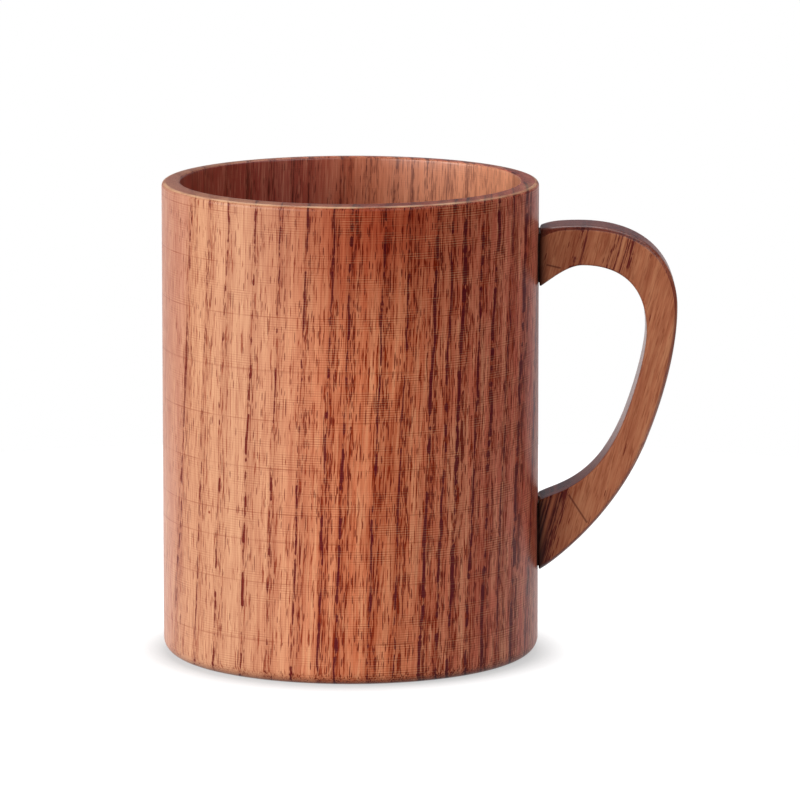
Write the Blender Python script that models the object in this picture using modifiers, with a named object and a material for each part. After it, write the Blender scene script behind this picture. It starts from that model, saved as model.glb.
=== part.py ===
"""Turned wooden mug with a sawn board handle, coped, glued and dowelled to its wall.

Metres, +Z up. The origin is the centre of the flat base, on the turning axis, and the handle points to +X.
"""

import math

import bmesh
import bpy
from mathutils import Matrix, Vector

# Turned cup
CUP_DIAMETER = 0.079
CUP_HEIGHT = 0.100
WALL_THICKNESS = 0.0039
FLOOR_THICKNESS = 0.006
RIM_OUTER_ROUND = 0.0015
RIM_INNER_ROUND = 0.0008
FOOT_ROUND = 0.003
INNER_CORNER_ROUND = 0.005

# Handle board, measured out from the wall, down from its crown and up from its lower tip
HANDLE_THICKNESS = 0.011
HANDLE_REACH = 0.029
EDGE_ROUND = 0.0012
CROWN_BELOW_RIM = 0.0091
CROWN_OUT = 0.0085
CROWN_DEPTH = 0.0082
ARCH_OUT = 0.0073
SHOULDER_DROP = 0.0173
GRIP_DROP = 0.0223
GRIP_WIDTH = 0.0065
UPPER_ROOT_DROP = 0.0009
UPPER_ROOT_HEIGHT = 0.012
TIP_ABOVE_BASE = 0.0177
LOWER_ROOT_HEIGHT = 0.0149

# Where the lower run of the board swings in, as shares of the way from the lower root up to the grip
OUTER_SWEEP = Vector((0.79, 0.51))
INNER_SWEEP = Vector((0.79, 0.47))

# Headings of the outline, in degrees above +X, where it runs neither level nor upright
CROWN_RISE = 19.0
OUTER_SWEEP_LEAN = 69.5
INNER_SWEEP_LEAN = 68.0
TIP_LEAN = 27.0
INNER_ROOT_LEAN = 30.0

# Joint between the wall and the handle
CLEARANCE = 0.0003
GLUE_THICKNESS = 0.0004
GLUE_INSET = 0.0006
DOWEL_DIAMETER = 0.004
DOWEL_CHAMFER = 0.0004
SEAT_DEPTH = 0.0026
SOCKET_DEPTH = 0.006
LOWER_DOWEL_RISE = 0.0098

# Facets
TURN_STEPS = 96
ROUND_STEPS = 4
OUTLINE_STEPS = 12
EDGE_STEPS = 2
DOWEL_STEPS = 24
WELD_DISTANCE = 0.00001

# Worked out from the sizes above
WALL_RADIUS = CUP_DIAMETER / 2
BORE_RADIUS = WALL_RADIUS - WALL_THICKNESS
CROWN_HEIGHT = CUP_HEIGHT - CROWN_BELOW_RIM
GLUE_INNER_RADIUS = WALL_RADIUS + CLEARANCE
GLUE_OUTER_RADIUS = GLUE_INNER_RADIUS + GLUE_THICKNESS
COPE_RADIUS = GLUE_OUTER_RADIUS + CLEARANCE
UPPER_ROOT_TOP = CROWN_HEIGHT - UPPER_ROOT_DROP
UPPER_ROOT_BOTTOM = UPPER_ROOT_TOP - UPPER_ROOT_HEIGHT
LOWER_ROOT_TOP = TIP_ABOVE_BASE + LOWER_ROOT_HEIGHT
UPPER_DOWEL_HEIGHT = CROWN_HEIGHT - CROWN_DEPTH / 2
LOWER_DOWEL_HEIGHT = TIP_ABOVE_BASE + LOWER_DOWEL_RISE


def clear_scene():
    """Remove every object that the scene starts with."""
    for leftover in list(bpy.data.objects):
        bpy.data.objects.remove(leftover, do_unlink=True)


def new_collection(name):
    collection = bpy.data.collections.new(name)
    bpy.context.scene.collection.children.link(collection)
    return collection


def new_material(name, colour, roughness):
    """A Principled BSDF material of one plain colour."""
    material = bpy.data.materials.new(name)
    material.use_nodes = True
    shader = material.node_tree.nodes["Principled BSDF"]
    shader.inputs["Base Color"].default_value = (*colour, 1.0)
    shader.inputs["Roughness"].default_value = roughness
    shader.inputs["Metallic"].default_value = 0.0
    return material


def new_part(name, data, material):
    """A named piece of the mug."""
    part = bpy.data.objects.new(name, data)
    part.data.materials.append(material)
    PARTS.objects.link(part)
    return part


def new_cutter(name, data):
    """A wire-drawn tool body that only cuts other pieces."""
    cutter = bpy.data.objects.new(name, data)
    cutter.hide_render = True
    cutter.display_type = "WIRE"
    CUTTERS.objects.link(cutter)
    return cutter


def cylinder_mesh(name, radius, length, steps, turn=None):
    """A capped cylinder about its own centre, upright or turned by a matrix."""
    mesh = bpy.data.meshes.new(name)
    shape = bmesh.new()
    bmesh.ops.create_cone(
        shape,
        cap_ends=True,
        segments=steps,
        radius1=radius,
        radius2=radius,
        depth=length,
        matrix=turn or Matrix.Identity(4),
    )
    shape.to_mesh(mesh)
    shape.free()
    return mesh


def cut(part, tool, operation="DIFFERENCE"):
    boolean = part.modifiers.new(f"{operation.lower()} {tool.name}", "BOOLEAN")
    boolean.operation = operation
    boolean.solver = "EXACT"
    boolean.object = tool


def arc(centre_x, centre_z, radius, start, end):
    """Points on a quarter round of a turned profile, between two angles in degrees."""
    points = []
    for step in range(ROUND_STEPS + 1):
        angle = math.radians(start + (end - start) * step / ROUND_STEPS)
        points.append((centre_x + radius * math.cos(angle), 0.0, centre_z + radius * math.sin(angle)))
    return points


def cup_profile():
    """Half section of the cup: across the inner floor, up the bore, over the rim and down the outside."""
    floor = FLOOR_THICKNESS
    return [
        (0.0, 0.0, floor),
        *arc(BORE_RADIUS - INNER_CORNER_ROUND, floor + INNER_CORNER_ROUND, INNER_CORNER_ROUND, -90, 0),
        *arc(BORE_RADIUS + RIM_INNER_ROUND, CUP_HEIGHT - RIM_INNER_ROUND, RIM_INNER_ROUND, 180, 90),
        *arc(WALL_RADIUS - RIM_OUTER_ROUND, CUP_HEIGHT - RIM_OUTER_ROUND, RIM_OUTER_ROUND, 90, 0),
        *arc(WALL_RADIUS - FOOT_ROUND, FOOT_ROUND, FOOT_ROUND, 0, -90),
        (0.0, 0.0, 0.0),
    ]


def make_cup_body(material):
    """Turn the profile about the axis."""
    points = cup_profile()
    mesh = bpy.data.meshes.new("cup_body")
    mesh.from_pydata(points, [(i, i + 1) for i in range(len(points) - 1)], [])
    body = new_part("cup_body", mesh, material)
    turn = body.modifiers.new("turn", "SCREW")
    turn.axis = "Z"
    turn.angle = math.tau
    turn.steps = TURN_STEPS
    turn.render_steps = TURN_STEPS
    turn.use_merge_vertices = True
    turn.merge_threshold = WELD_DISTANCE
    turn.use_smooth_shade = True
    return body


def heading(degrees):
    return Vector((math.cos(math.radians(degrees)), math.sin(math.radians(degrees))))


def between(low, high, shares):
    """The point at the given shares of the way across and up from low to high."""
    return Vector((low.x + (high.x - low.x) * shares.x, low.y + (high.y - low.y) * shares.y))


def handle_anchors():
    """Corners and smooth points of the board's side view, in order round it.

    Each is a place, the direction of travel there (None at a corner) and the pulls of its two handles,
    as shares of the distance to the neighbour on that side.
    """
    root_end = BORE_RADIUS
    upper_top = Vector((WALL_RADIUS, UPPER_ROOT_TOP))
    upper_bottom = Vector((WALL_RADIUS, UPPER_ROOT_BOTTOM))
    crown = Vector((WALL_RADIUS + CROWN_OUT, CROWN_HEIGHT))
    arch = Vector((WALL_RADIUS + ARCH_OUT, CROWN_HEIGHT - CROWN_DEPTH))
    shoulder = Vector((WALL_RADIUS + HANDLE_REACH, CROWN_HEIGHT - SHOULDER_DROP))
    grip = Vector((WALL_RADIUS + HANDLE_REACH - GRIP_WIDTH, CROWN_HEIGHT - GRIP_DROP))
    tip = Vector((WALL_RADIUS, TIP_ABOVE_BASE))
    lower_top = Vector((WALL_RADIUS, LOWER_ROOT_TOP))
    down = Vector((0.0, -1.0))
    across = Vector((1.0, 0.0))
    return [
        (Vector((root_end, UPPER_ROOT_TOP)), None, 0.0, 0.0),
        (upper_top, heading(CROWN_RISE), 0.0, 0.27),
        (crown, across, 0.27, 0.63),
        (shoulder, down, 0.24, 0.44),
        (between(tip, shoulder, OUTER_SWEEP), -heading(OUTER_SWEEP_LEAN), 0.07, 0.475),
        (tip, -heading(TIP_LEAN), 0.10, 0.0),
        (Vector((root_end, TIP_ABOVE_BASE)), None, 0.0, 0.0),
        (Vector((root_end, LOWER_ROOT_TOP)), None, 0.0, 0.0),
        (lower_top, heading(INNER_ROOT_LEAN), 0.0, 0.17),
        (between(lower_top, grip, INNER_SWEEP), heading(INNER_SWEEP_LEAN), 0.64, 0.21),
        (grip, -down, 0.29, 0.56),
        (arch, -across, 0.36, 0.2),
        (upper_bottom, None, 0.0, 0.0),
        (Vector((root_end, UPPER_ROOT_BOTTOM)), None, 0.0, 0.0),
    ]


def handle_outline():
    """The board as a filled flat curve with rounded edges, standing in the XZ plane."""
    anchors = handle_anchors()
    curve = bpy.data.curves.new("handle_outline", "CURVE")
    curve.dimensions = "2D"
    curve.fill_mode = "BOTH"
    curve.resolution_u = OUTLINE_STEPS
    curve.render_resolution_u = OUTLINE_STEPS
    curve.bevel_depth = EDGE_ROUND
    curve.bevel_resolution = EDGE_STEPS
    curve.extrude = HANDLE_THICKNESS / 2 - EDGE_ROUND
    curve.offset = -EDGE_ROUND
    spline = curve.splines.new("BEZIER")
    spline.bezier_points.add(len(anchors) - 1)
    spline.use_cyclic_u = True
    for index, (place, travel, pull_before, pull_after) in enumerate(anchors):
        before = anchors[index - 1][0]
        after = anchors[(index + 1) % len(anchors)][0]
        travel_in = travel if travel and pull_before else (place - before).normalized()
        travel_out = travel if travel and pull_after else (after - place).normalized()
        point = spline.bezier_points[index]
        point.handle_left_type = "FREE"
        point.handle_right_type = "FREE"
        point.co = place.to_3d()
        point.handle_left = (place - travel_in * (place - before).length * pull_before).to_3d()
        point.handle_right = (place + travel_out * (after - place).length * pull_after).to_3d()
    outline = bpy.data.objects.new("handle_outline", curve)
    outline.rotation_euler.x = math.pi / 2
    CUTTERS.objects.link(outline)
    return outline


def make_handle(material):
    """Board cut from the outline, with its ends coped to the wall."""
    outline = handle_outline()
    bpy.context.view_layer.update()
    evaluated = outline.evaluated_get(bpy.context.evaluated_depsgraph_get())
    mesh = bpy.data.meshes.new_from_object(evaluated)
    mesh.name = "handle"
    shape = bmesh.new()
    shape.from_mesh(mesh)
    bmesh.ops.remove_doubles(shape, verts=shape.verts, dist=WELD_DISTANCE)
    shape.to_mesh(mesh)
    shape.free()
    mesh.shade_smooth()
    mesh.set_sharp_from_angle(angle=math.radians(35))
    handle = new_part("handle", mesh, material)
    handle.matrix_world = outline.matrix_world
    bpy.data.objects.remove(outline, do_unlink=True)
    return handle


def wall_cylinder(name, radius):
    """Tool of the cup's own facets, standing taller than the cup."""
    tool = new_cutter(name, cylinder_mesh(name, radius, 2 * CUP_HEIGHT, TURN_STEPS))
    tool.location.z = CUP_HEIGHT / 2
    return tool


def dowel_mesh(name, radius, length):
    return cylinder_mesh(name, radius, length, DOWEL_STEPS, Matrix.Rotation(math.pi / 2, 4, "Y"))


def dowel_bore(name, height):
    """Tool for the blind hole that runs from the wall, through the glue, into the handle."""
    length = SEAT_DEPTH + COPE_RADIUS - WALL_RADIUS + SOCKET_DEPTH
    tool = new_cutter(name, dowel_mesh(name, DOWEL_DIAMETER / 2 + CLEARANCE, length))
    tool.location = (WALL_RADIUS - SEAT_DEPTH + length / 2, 0.0, height)
    return tool


def make_dowel(name, bore, material):
    """Pin with chamfered ends, a clearance short of its hole at both ends."""
    length = bore.dimensions.x - 2 * CLEARANCE
    dowel = new_part(name, dowel_mesh(name, DOWEL_DIAMETER / 2, length), material)
    dowel.location = bore.location
    dowel.data.shade_smooth()
    chamfer = dowel.modifiers.new("chamfer", "BEVEL")
    chamfer.width = DOWEL_CHAMFER
    chamfer.segments = 1
    chamfer.limit_method = "ANGLE"
    chamfer.angle_limit = math.radians(60)
    return dowel


def make_glue_line(name, bottom, top, material, inner, outer, bore):
    """Film that follows the wall between two heights, just inside the edges of the handle's end."""
    width = HANDLE_THICKNESS - 2 * GLUE_INSET
    height = top - bottom - 2 * GLUE_INSET
    depth = 2 * (COPE_RADIUS - BORE_RADIUS)
    mesh = bpy.data.meshes.new(name)
    shape = bmesh.new()
    bmesh.ops.create_cube(shape, size=1.0, matrix=Matrix.Diagonal((depth, width, height, 1.0)))
    shape.to_mesh(mesh)
    shape.free()
    film = new_part(name, mesh, material)
    film.location = (WALL_RADIUS, 0.0, (bottom + top) / 2)
    cut(film, outer, "INTERSECT")
    cut(film, inner)
    cut(film, bore)
    return film


clear_scene()
PARTS = new_collection("wooden_mug")
CUTTERS = new_collection("wooden_mug_cutters")

cup_wood = new_material("turned_cup_wood", (0.36, 0.125, 0.048), 0.42)
handle_wood = new_material("sawn_handle_wood", (0.34, 0.115, 0.045), 0.45)
dowel_wood = new_material("pale_dowel_wood", (0.56, 0.36, 0.19), 0.6)
dark_glue = new_material("dark_cured_glue", (0.045, 0.014, 0.009), 0.5)

cup_body = make_cup_body(cup_wood)
handle = make_handle(handle_wood)
cope = wall_cylinder("cope", COPE_RADIUS)
glue_inner = wall_cylinder("glue_inner", GLUE_INNER_RADIUS)
glue_outer = wall_cylinder("glue_outer", GLUE_OUTER_RADIUS)
cut(handle, cope)

JOINTS = {
    "upper": (UPPER_ROOT_BOTTOM, UPPER_ROOT_TOP, UPPER_DOWEL_HEIGHT),
    "lower": (TIP_ABOVE_BASE, LOWER_ROOT_TOP, LOWER_DOWEL_HEIGHT),
}
for end, (root_bottom, root_top, dowel_height) in JOINTS.items():
    bore = dowel_bore(f"{end}_bore", dowel_height)
    cut(cup_body, bore)
    cut(handle, bore)
    make_dowel(f"{end}_dowel", bore, dowel_wood)
    make_glue_line(f"{end}_glue_line", root_bottom, root_top, dark_glue, glue_inner, glue_outer, bore)
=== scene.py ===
"""Looks of the turned wooden mug: lacquered ring-porous wood, a board handle and dark glue joints."""

import math

import bmesh
import bpy
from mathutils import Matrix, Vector


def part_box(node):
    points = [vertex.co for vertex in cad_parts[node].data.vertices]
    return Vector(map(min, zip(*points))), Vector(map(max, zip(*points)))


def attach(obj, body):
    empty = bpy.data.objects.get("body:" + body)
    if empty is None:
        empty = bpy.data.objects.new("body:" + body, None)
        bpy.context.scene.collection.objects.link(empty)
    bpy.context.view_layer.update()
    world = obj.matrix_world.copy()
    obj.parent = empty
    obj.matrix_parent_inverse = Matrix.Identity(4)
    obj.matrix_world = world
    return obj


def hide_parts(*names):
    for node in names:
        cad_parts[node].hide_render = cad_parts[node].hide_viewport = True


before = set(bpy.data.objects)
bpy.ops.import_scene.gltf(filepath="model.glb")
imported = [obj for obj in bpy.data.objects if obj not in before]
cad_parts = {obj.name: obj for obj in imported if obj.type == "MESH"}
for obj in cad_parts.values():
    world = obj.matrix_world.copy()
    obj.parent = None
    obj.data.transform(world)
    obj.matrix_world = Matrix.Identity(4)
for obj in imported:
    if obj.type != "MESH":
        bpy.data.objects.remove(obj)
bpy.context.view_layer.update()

MM = 0.001
BODY = "root"

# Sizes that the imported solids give, in metres
cup_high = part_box("cup_body")[1]
handle_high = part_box("handle")[1]
CUP_RADIUS = cup_high.x
CUP_HEIGHT = cup_high.z
HANDLE_HALF = handle_high.y

# Turned section of the cup; the rim's top falls a little from its inner to its outer edge
WALL = 3.9 * MM
FLOOR = 6.0 * MM
RIM_OUTER_ROUND = 0.9 * MM
RIM_INNER_ROUND = 0.6 * MM
RIM_FALL = 0.22 * MM
FOOT_ROUND = 3.0 * MM
INNER_CORNER_ROUND = 5.0 * MM

# Fineness of the cup's skin
TURN_STEPS = 288
WALL_STEP = 2.0 * MM
DISC_STEPS = 16
CORNER_STEPS = 12
RIM_INNER_STEPS = 8
RIM_OUTER_STEPS = 12
FOOT_STEPS = 14
SHARP_ANGLE = math.radians(40)

# Heights of the deeper lines that the turning tool left, and their cut
TOOL_LINES = [97.6, 87.1, 76.6, 65.4, 55.0, 45.0, 35.6, 29.8, 21.0, 8.8]
TOOL_LINE_DEPTH = 0.015 * MM
TOOL_LINE_HALF = 0.12 * MM

# Joint between the handle and the wall: its gap, the run over which the handle is coped to the wall, the
# easing of the handle's ends, and the film of glue, from just off the wall to a little inside the handle
JOINT_GAP = 0.35 * MM
COPE_RUN = 6.0 * MM
UPPER_EASE = 0.5 * MM
LOWER_EASE = 0.4 * MM
GLUE_INSET = 0.75 * MM
GLUE_CORNER = 1.2 * MM
GLUE_OFF_WALL = 0.02 * MM
GLUE_INTO_HANDLE = 0.1 * MM

# Rounding of the board's long edges, which is fuller at the top corner beside the wall
OUTER_EDGE = 1.25 * MM
INNER_EDGE = 0.6 * MM
TOP_CORNER_EDGE = 3.2 * MM
TOP_CORNER_RUN = 5.0 * MM

# Fineness of the handle: steps round a corner and along a flat of its section, and sections close to a root
# and along each span of its curves; the last span is LOWER_SPAN times as long as the first
EDGE_STEPS = 8
FLAT_SHARES = (0.25, 0.5, 0.75)
ROOT_RUNS = [0.0, 0.006, 0.016, 0.03, 0.05, 0.075, 0.1]
SPAN_STEPS = 36
LOWER_SPAN = 2.4

# Strips of the board's section, counted from its outer edge round the front, that belong to its long edges
EDGE_STRIPS = {*range(0, 6), *range(18, 26), *range(38, 48)}


def linear(code):
    """Linear colour with alpha of an sRGB hex code."""
    channels = [int(code[i:i + 2], 16) / 255 for i in (1, 3, 5)]
    return (*[c / 12.92 if c <= 0.04045 else ((c + 0.055) / 1.055) ** 2.4 for c in channels], 1.0)


def add(tree, kind, inputs=(), **settings):
    """Add one shader node: inputs maps a socket's name or number to a value or to another node's socket."""
    node = tree.nodes.new("ShaderNode" + kind)
    for name, value in settings.items():
        setattr(node, name, value)
    for socket, value in dict(inputs).items():
        if isinstance(value, bpy.types.NodeSocket):
            tree.links.new(value, node.inputs[socket])
        else:
            node.inputs[socket].default_value = value
    return node.outputs


def new_material(name):
    """Empty node material; returns the material and its tree."""
    material = bpy.data.materials.new(name)
    material.use_nodes = True
    material.node_tree.nodes.clear()
    return material, material.node_tree


def new_piece(name, shape, material, slot, *nodes):
    """Mesh piece from a bmesh, shaded smooth, that rides on the mug and stands for CAD nodes."""
    mesh = bpy.data.meshes.new(name)
    bmesh.ops.recalc_face_normals(shape, faces=shape.faces)
    shape.to_mesh(mesh)
    shape.free()
    mesh.shade_smooth()
    mesh.set_sharp_from_angle(angle=SHARP_ANGLE)
    mesh.materials.append(material)
    piece = bpy.data.objects.new(name, mesh)
    bpy.context.scene.collection.objects.link(piece)
    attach(piece, BODY)
    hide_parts(*nodes)
    return piece


# Geometry of the cup


def arc(centre_x, centre_z, radius, start, end, steps):
    """Points of a round corner of the turned section, between two angles in degrees."""
    points = []
    for step in range(steps + 1):
        angle = math.radians(start + (end - start) * step / steps)
        points.append((centre_x + radius * math.cos(angle), centre_z + radius * math.sin(angle)))
    return points


def outer_wall():
    """Outer side of the section from rim to foot, with a shallow notch at every tool line."""
    top = CUP_HEIGHT - RIM_OUTER_ROUND - WALL_STEP
    heights = [top - i * WALL_STEP for i in range(int((top - FOOT_ROUND) / WALL_STEP))]
    notches = [line * MM for line in TOOL_LINES if FOOT_ROUND < line * MM < top]
    clear = [z for z in heights if all(abs(z - n) > 3 * TOOL_LINE_HALF for n in notches)]
    points = [(CUP_RADIUS, z) for z in clear]
    for notch in notches:
        points.append((CUP_RADIUS, notch + 2 * TOOL_LINE_HALF))
        points.append((CUP_RADIUS, notch + TOOL_LINE_HALF))
        points.append((CUP_RADIUS - TOOL_LINE_DEPTH, notch))
        points.append((CUP_RADIUS, notch - TOOL_LINE_HALF))
        points.append((CUP_RADIUS, notch - 2 * TOOL_LINE_HALF))
    return sorted(points, key=lambda point: -point[1])


def cup_section():
    """Half section of the cup: from the middle of the inner floor over the rim to the middle of the base."""
    bore = CUP_RADIUS - WALL
    floor_edge = bore - INNER_CORNER_ROUND
    rim_in = bore + RIM_INNER_ROUND
    rim_out = CUP_RADIUS - RIM_OUTER_ROUND
    wall_run = CUP_HEIGHT - RIM_INNER_ROUND - FLOOR - INNER_CORNER_ROUND
    wall_rows = int(wall_run / WALL_STEP)
    inner_start = FLOOR + INNER_CORNER_ROUND
    section = [(floor_edge * i / DISC_STEPS, FLOOR) for i in range(DISC_STEPS)]
    section += arc(floor_edge, inner_start, INNER_CORNER_ROUND, -90, 0, CORNER_STEPS)
    section += [(bore, inner_start + wall_run * i / wall_rows) for i in range(1, wall_rows)]
    section += arc(rim_in, CUP_HEIGHT - RIM_INNER_ROUND, RIM_INNER_ROUND, 180, 90, RIM_INNER_STEPS)
    section += [((rim_in + rim_out) / 2, CUP_HEIGHT - RIM_FALL * 0.4)]
    outer_middle = CUP_HEIGHT - RIM_FALL - RIM_OUTER_ROUND
    section += arc(rim_out, outer_middle, RIM_OUTER_ROUND, 80, 0, RIM_OUTER_STEPS)
    section += outer_wall()
    foot_edge = CUP_RADIUS - FOOT_ROUND
    section += arc(foot_edge, FOOT_ROUND, FOOT_ROUND, 0, -90, FOOT_STEPS)
    section += [(foot_edge * i / DISC_STEPS, 0.0) for i in range(DISC_STEPS - 1, -1, -1)]
    return section


def turn_cup(outside, inside, rim_coat):
    """Turn the section about the cup's axis into one closed skin, with its own finish inside and on the rim.

    The rim's finish starts half way round its inner edge and ends where its outer edge meets the wall.
    """
    section = cup_section()
    rim = max(range(len(section)), key=lambda index: section[index][1])
    rim_from = rim - RIM_INNER_STEPS // 2
    rim_to = rim + 2 + RIM_OUTER_STEPS
    shape = bmesh.new()
    rings = []
    for radius, height in section:
        if radius == 0.0:
            rings.append([shape.verts.new((0.0, 0.0, height))])
            continue
        ring = []
        for step in range(TURN_STEPS):
            angle = math.tau * step / TURN_STEPS
            ring.append(shape.verts.new((radius * math.cos(angle), radius * math.sin(angle), height)))
        rings.append(ring)
    for row, (lower, upper) in enumerate(zip(rings, rings[1:])):
        for step in range(TURN_STEPS):
            after = (step + 1) % TURN_STEPS
            corners = [lower[step % len(lower)], lower[after % len(lower)]]
            corners += [upper[after % len(upper)], upper[step % len(upper)]]
            face = shape.faces.new(list(dict.fromkeys(corners)))
            face.material_index = 1 if row < rim_from else 2 if row < rim_to else 0
    cup = new_piece("turned_cup", shape, outside, "cup_wood", "cup_body")
    cup.data.materials.append(inside)
    cup.data.materials.append(rim_coat)
    return cup


# Geometry of the handle, as side views of its outer and inner edge in millimetres (across, up)


def heading(degrees):
    """Direction in the side view, counted up from straight across."""
    return Vector((math.cos(math.radians(degrees)), math.sin(math.radians(degrees))))


ACROSS = Vector((1.0, 0.0))
DOWN = Vector((0.0, -1.0))
UPPER_ROOT = (78.0, 90.0)
LOWER_ROOT = (17.7, 32.6)
WALL_X = CUP_RADIUS / MM

# Each point: place, direction of travel, and handle lengths before and after it
OUTER_EDGE_CURVE = [
    (Vector((WALL_X, UPPER_ROOT[1])), heading(19.0), 0.0, 2.4),
    (Vector((48.0, 90.9)), ACROSS, 2.3, 17.0),
    (Vector((68.49, 73.6)), DOWN, 6.5, 12.4),
    (Vector((62.4, 46.1)), -heading(69.5), 2.0, 17.4),
    (Vector((WALL_X, LOWER_ROOT[0])), -heading(27.0), 3.7, 0.0),
]
INNER_EDGE_CURVE = [
    (Vector((WALL_X, UPPER_ROOT[0])), heading(34.0), 0.0, 3.2),
    (Vector((48.6, 82.6)), ACROSS, 3.2, 5.6),
    (Vector((62.0, 68.6)), DOWN, 11.7, 5.6),
    (Vector((57.3, 49.6)), -heading(68.0), 4.1, 15.7),
    (Vector((WALL_X, LOWER_ROOT[1])), -heading(30.0), 4.2, 0.0),
]


def along(curve, run):
    """Point of an edge curve in metres, where run goes from 0 at the upper root to 1 per span."""
    span = min(int(run), len(curve) - 2)
    t = run - span
    start, travel, _, pull = curve[span]
    end, arrival, brake, _ = curve[span + 1]
    a = start
    b = start + travel * pull
    c = end - arrival * brake
    d = end
    point = a * (1 - t) ** 3 + b * 3 * t * (1 - t) ** 2 + c * 3 * t * t * (1 - t) + d * t ** 3
    return point * MM


def board_section(half_width, half_depth, outer_round, inner_round):
    """Rounded rectangle about its middle, as points (towards the outer edge, towards the front)."""
    corners = [
        (half_width, half_depth, outer_round, 0),
        (-half_width, half_depth, inner_round, 90),
        (-half_width, -half_depth, inner_round, 180),
        (half_width, -half_depth, outer_round, 270),
    ]
    points = []
    for across, front, radius, start in corners:
        centre_a = across - math.copysign(radius, across)
        centre_f = front - math.copysign(radius, front)
        for step in range(EDGE_STEPS + 1):
            angle = math.radians(start + 90 * step / EDGE_STEPS)
            points.append((centre_a + radius * math.cos(angle), centre_f + radius * math.sin(angle)))
    flats = []
    for index, point in enumerate(points):
        flats.append(point)
        if index % (EDGE_STEPS + 1) == EDGE_STEPS:
            after = points[(index + 1) % len(points)]
            for share in FLAT_SHARES:
                flats.append(tuple(p + (q - p) * share for p, q in zip(point, after)))
    return flats


def handle_runs():
    """Places along the handle where it gets a section: close together at both roots."""
    spans = len(OUTER_EDGE_CURVE) - 1
    first = int(ROOT_RUNS[-1] * SPAN_STEPS) + 1
    even = [i / SPAN_STEPS for i in range(first, spans * SPAN_STEPS - first + 1)]
    return ROOT_RUNS + even + [spans - run / LOWER_SPAN for run in reversed(ROOT_RUNS)]


def saw_handle(faces, edges):
    """Board between its two edge curves, with rounded long edges and eased ends coped to the wall."""
    shape = bmesh.new()
    rings = []
    spans = len(OUTER_EDGE_CURVE) - 1
    cope = CUP_RADIUS + JOINT_GAP
    for run in handle_runs():
        outer = along(OUTER_EDGE_CURVE, run)
        inner = along(INNER_EDGE_CURVE, run)
        middle = (outer + inner) / 2
        width = (outer - inner).length
        towards = (outer - inner).normalized()
        from_wall = max(middle.x - CUP_RADIUS, 0.0)
        ease = UPPER_EASE if run < spans / 2 else LOWER_EASE
        short = max(1.0 - from_wall / ease, 0.0)
        inset = ease * (1.0 - math.sqrt(1.0 - short * short))
        corner = OUTER_EDGE
        if run < spans / 2:
            near_top = max(1.0 - from_wall / TOP_CORNER_RUN, 0.0)
            corner += (TOP_CORNER_EDGE - OUTER_EDGE) * near_top * near_top
        ring = []
        section = board_section(width / 2 - inset, HANDLE_HALF - inset, corner, INNER_EDGE)
        for across, front in section:
            spot = middle + towards * across
            bow = cope - math.sqrt(cope * cope - front * front)
            fade = max(1.0 - from_wall / COPE_RUN, 0.0)
            x = spot.x + JOINT_GAP * fade - bow * fade
            ring.append(shape.verts.new((x, -front, spot.y)))
        rings.append(ring)
    for first, second in zip(rings, rings[1:]):
        for index in range(len(first)):
            after = (index + 1) % len(first)
            face = shape.faces.new((first[index], first[after], second[after], second[index]))
            face.material_index = 1 if index in EDGE_STRIPS else 0
    shape.faces.new(rings[0])
    shape.faces.new(list(reversed(rings[-1])))
    handle = new_piece("board_handle", shape, faces, "handle_wood", "handle")
    handle.data.materials.append(edges)
    return handle


def spread_glue(name, node, root, material):
    """Film of glue in the joint, a little uneven round its edge, from the wall to the handle's end."""
    bottom, top = root
    half_height = (top - bottom) / 2 * MM - GLUE_INSET
    half_width = HANDLE_HALF - GLUE_INSET
    middle = (top + bottom) / 2 * MM
    shape = bmesh.new()
    skins = []
    for radius in (CUP_RADIUS + GLUE_OFF_WALL, CUP_RADIUS + JOINT_GAP + GLUE_INTO_HANDLE):
        outline = board_section(half_height, half_width, GLUE_CORNER, GLUE_CORNER)
        skin = []
        for index, (up, front) in enumerate(outline):
            wave = 1.0 + 0.03 * math.sin(index * 1.7) + 0.02 * math.sin(index * 4.3 + 1.0)
            x = math.sqrt(radius * radius - (front * wave) ** 2)
            skin.append(shape.verts.new((x, front * wave, middle + up * wave)))
        skins.append(skin)
    for index in range(len(skins[0])):
        after = (index + 1) % len(skins[0])
        shape.faces.new((skins[0][index], skins[0][after], skins[1][after], skins[1][index]))
    shape.faces.new(skins[0])
    shape.faces.new(skins[1])
    return new_piece(name, shape, material, "joint_glue", node)


# Materials

# Dark early wood lines across each block, in millimetres from the cup's axis
CUP_BANDS = [
    -52, -48, -44, -36, -32, -28, -22, -16.5, -11, -5.5, -2,
    5, 10, 15.5, 18.5, 21, 24.5, 27.5, 30.5, 33.5, 37, 44, 48,
]
HANDLE_BANDS = [-20, 6, 24.3, 24.7, 30.9, 31.5, 32.1, 33.8, 34.1, 34.4, 58, 80]
WIDEST_RING = 30.0

# Short dark checks in the board, each from one point of its side view to another, in millimetres
BOARD_CHECKS = [((45.8, 34.0), (49.7, 28.0)), ((41.0, 82.8), (44.0, 82.1))]

# In millimetres: distance between the fine rings that the turning tool left, which is really about 0.4 mm and
# is drawn a little coarser so that they show; a pin knot in the wall; the middle of a dark patch below the
# rim; and a painted highlight, a pale line on the rim's outer rounding, by its distance from the axis, its
# height and half width
TURNING_PITCH = 0.5
PIN_KNOT = (-29.1, -26.7, 34.2)
DARK_PATCH = (7.0, -39.0, 99.0)
RIM_HIGHLIGHT_OUT, RIM_HIGHLIGHT_LEVEL, RIM_HIGHLIGHT_HALF = 38.95, 99.6, 0.3


def stretched(tree, vector, across, along_grain):
    """Grain coordinates counted in cells of the given width and length in millimetres."""
    cell = (1 / across, 1 / across, 1 / along_grain)
    return add(tree, "VectorMath", {0: vector, 1: cell}, operation="MULTIPLY")["Vector"]


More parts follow.
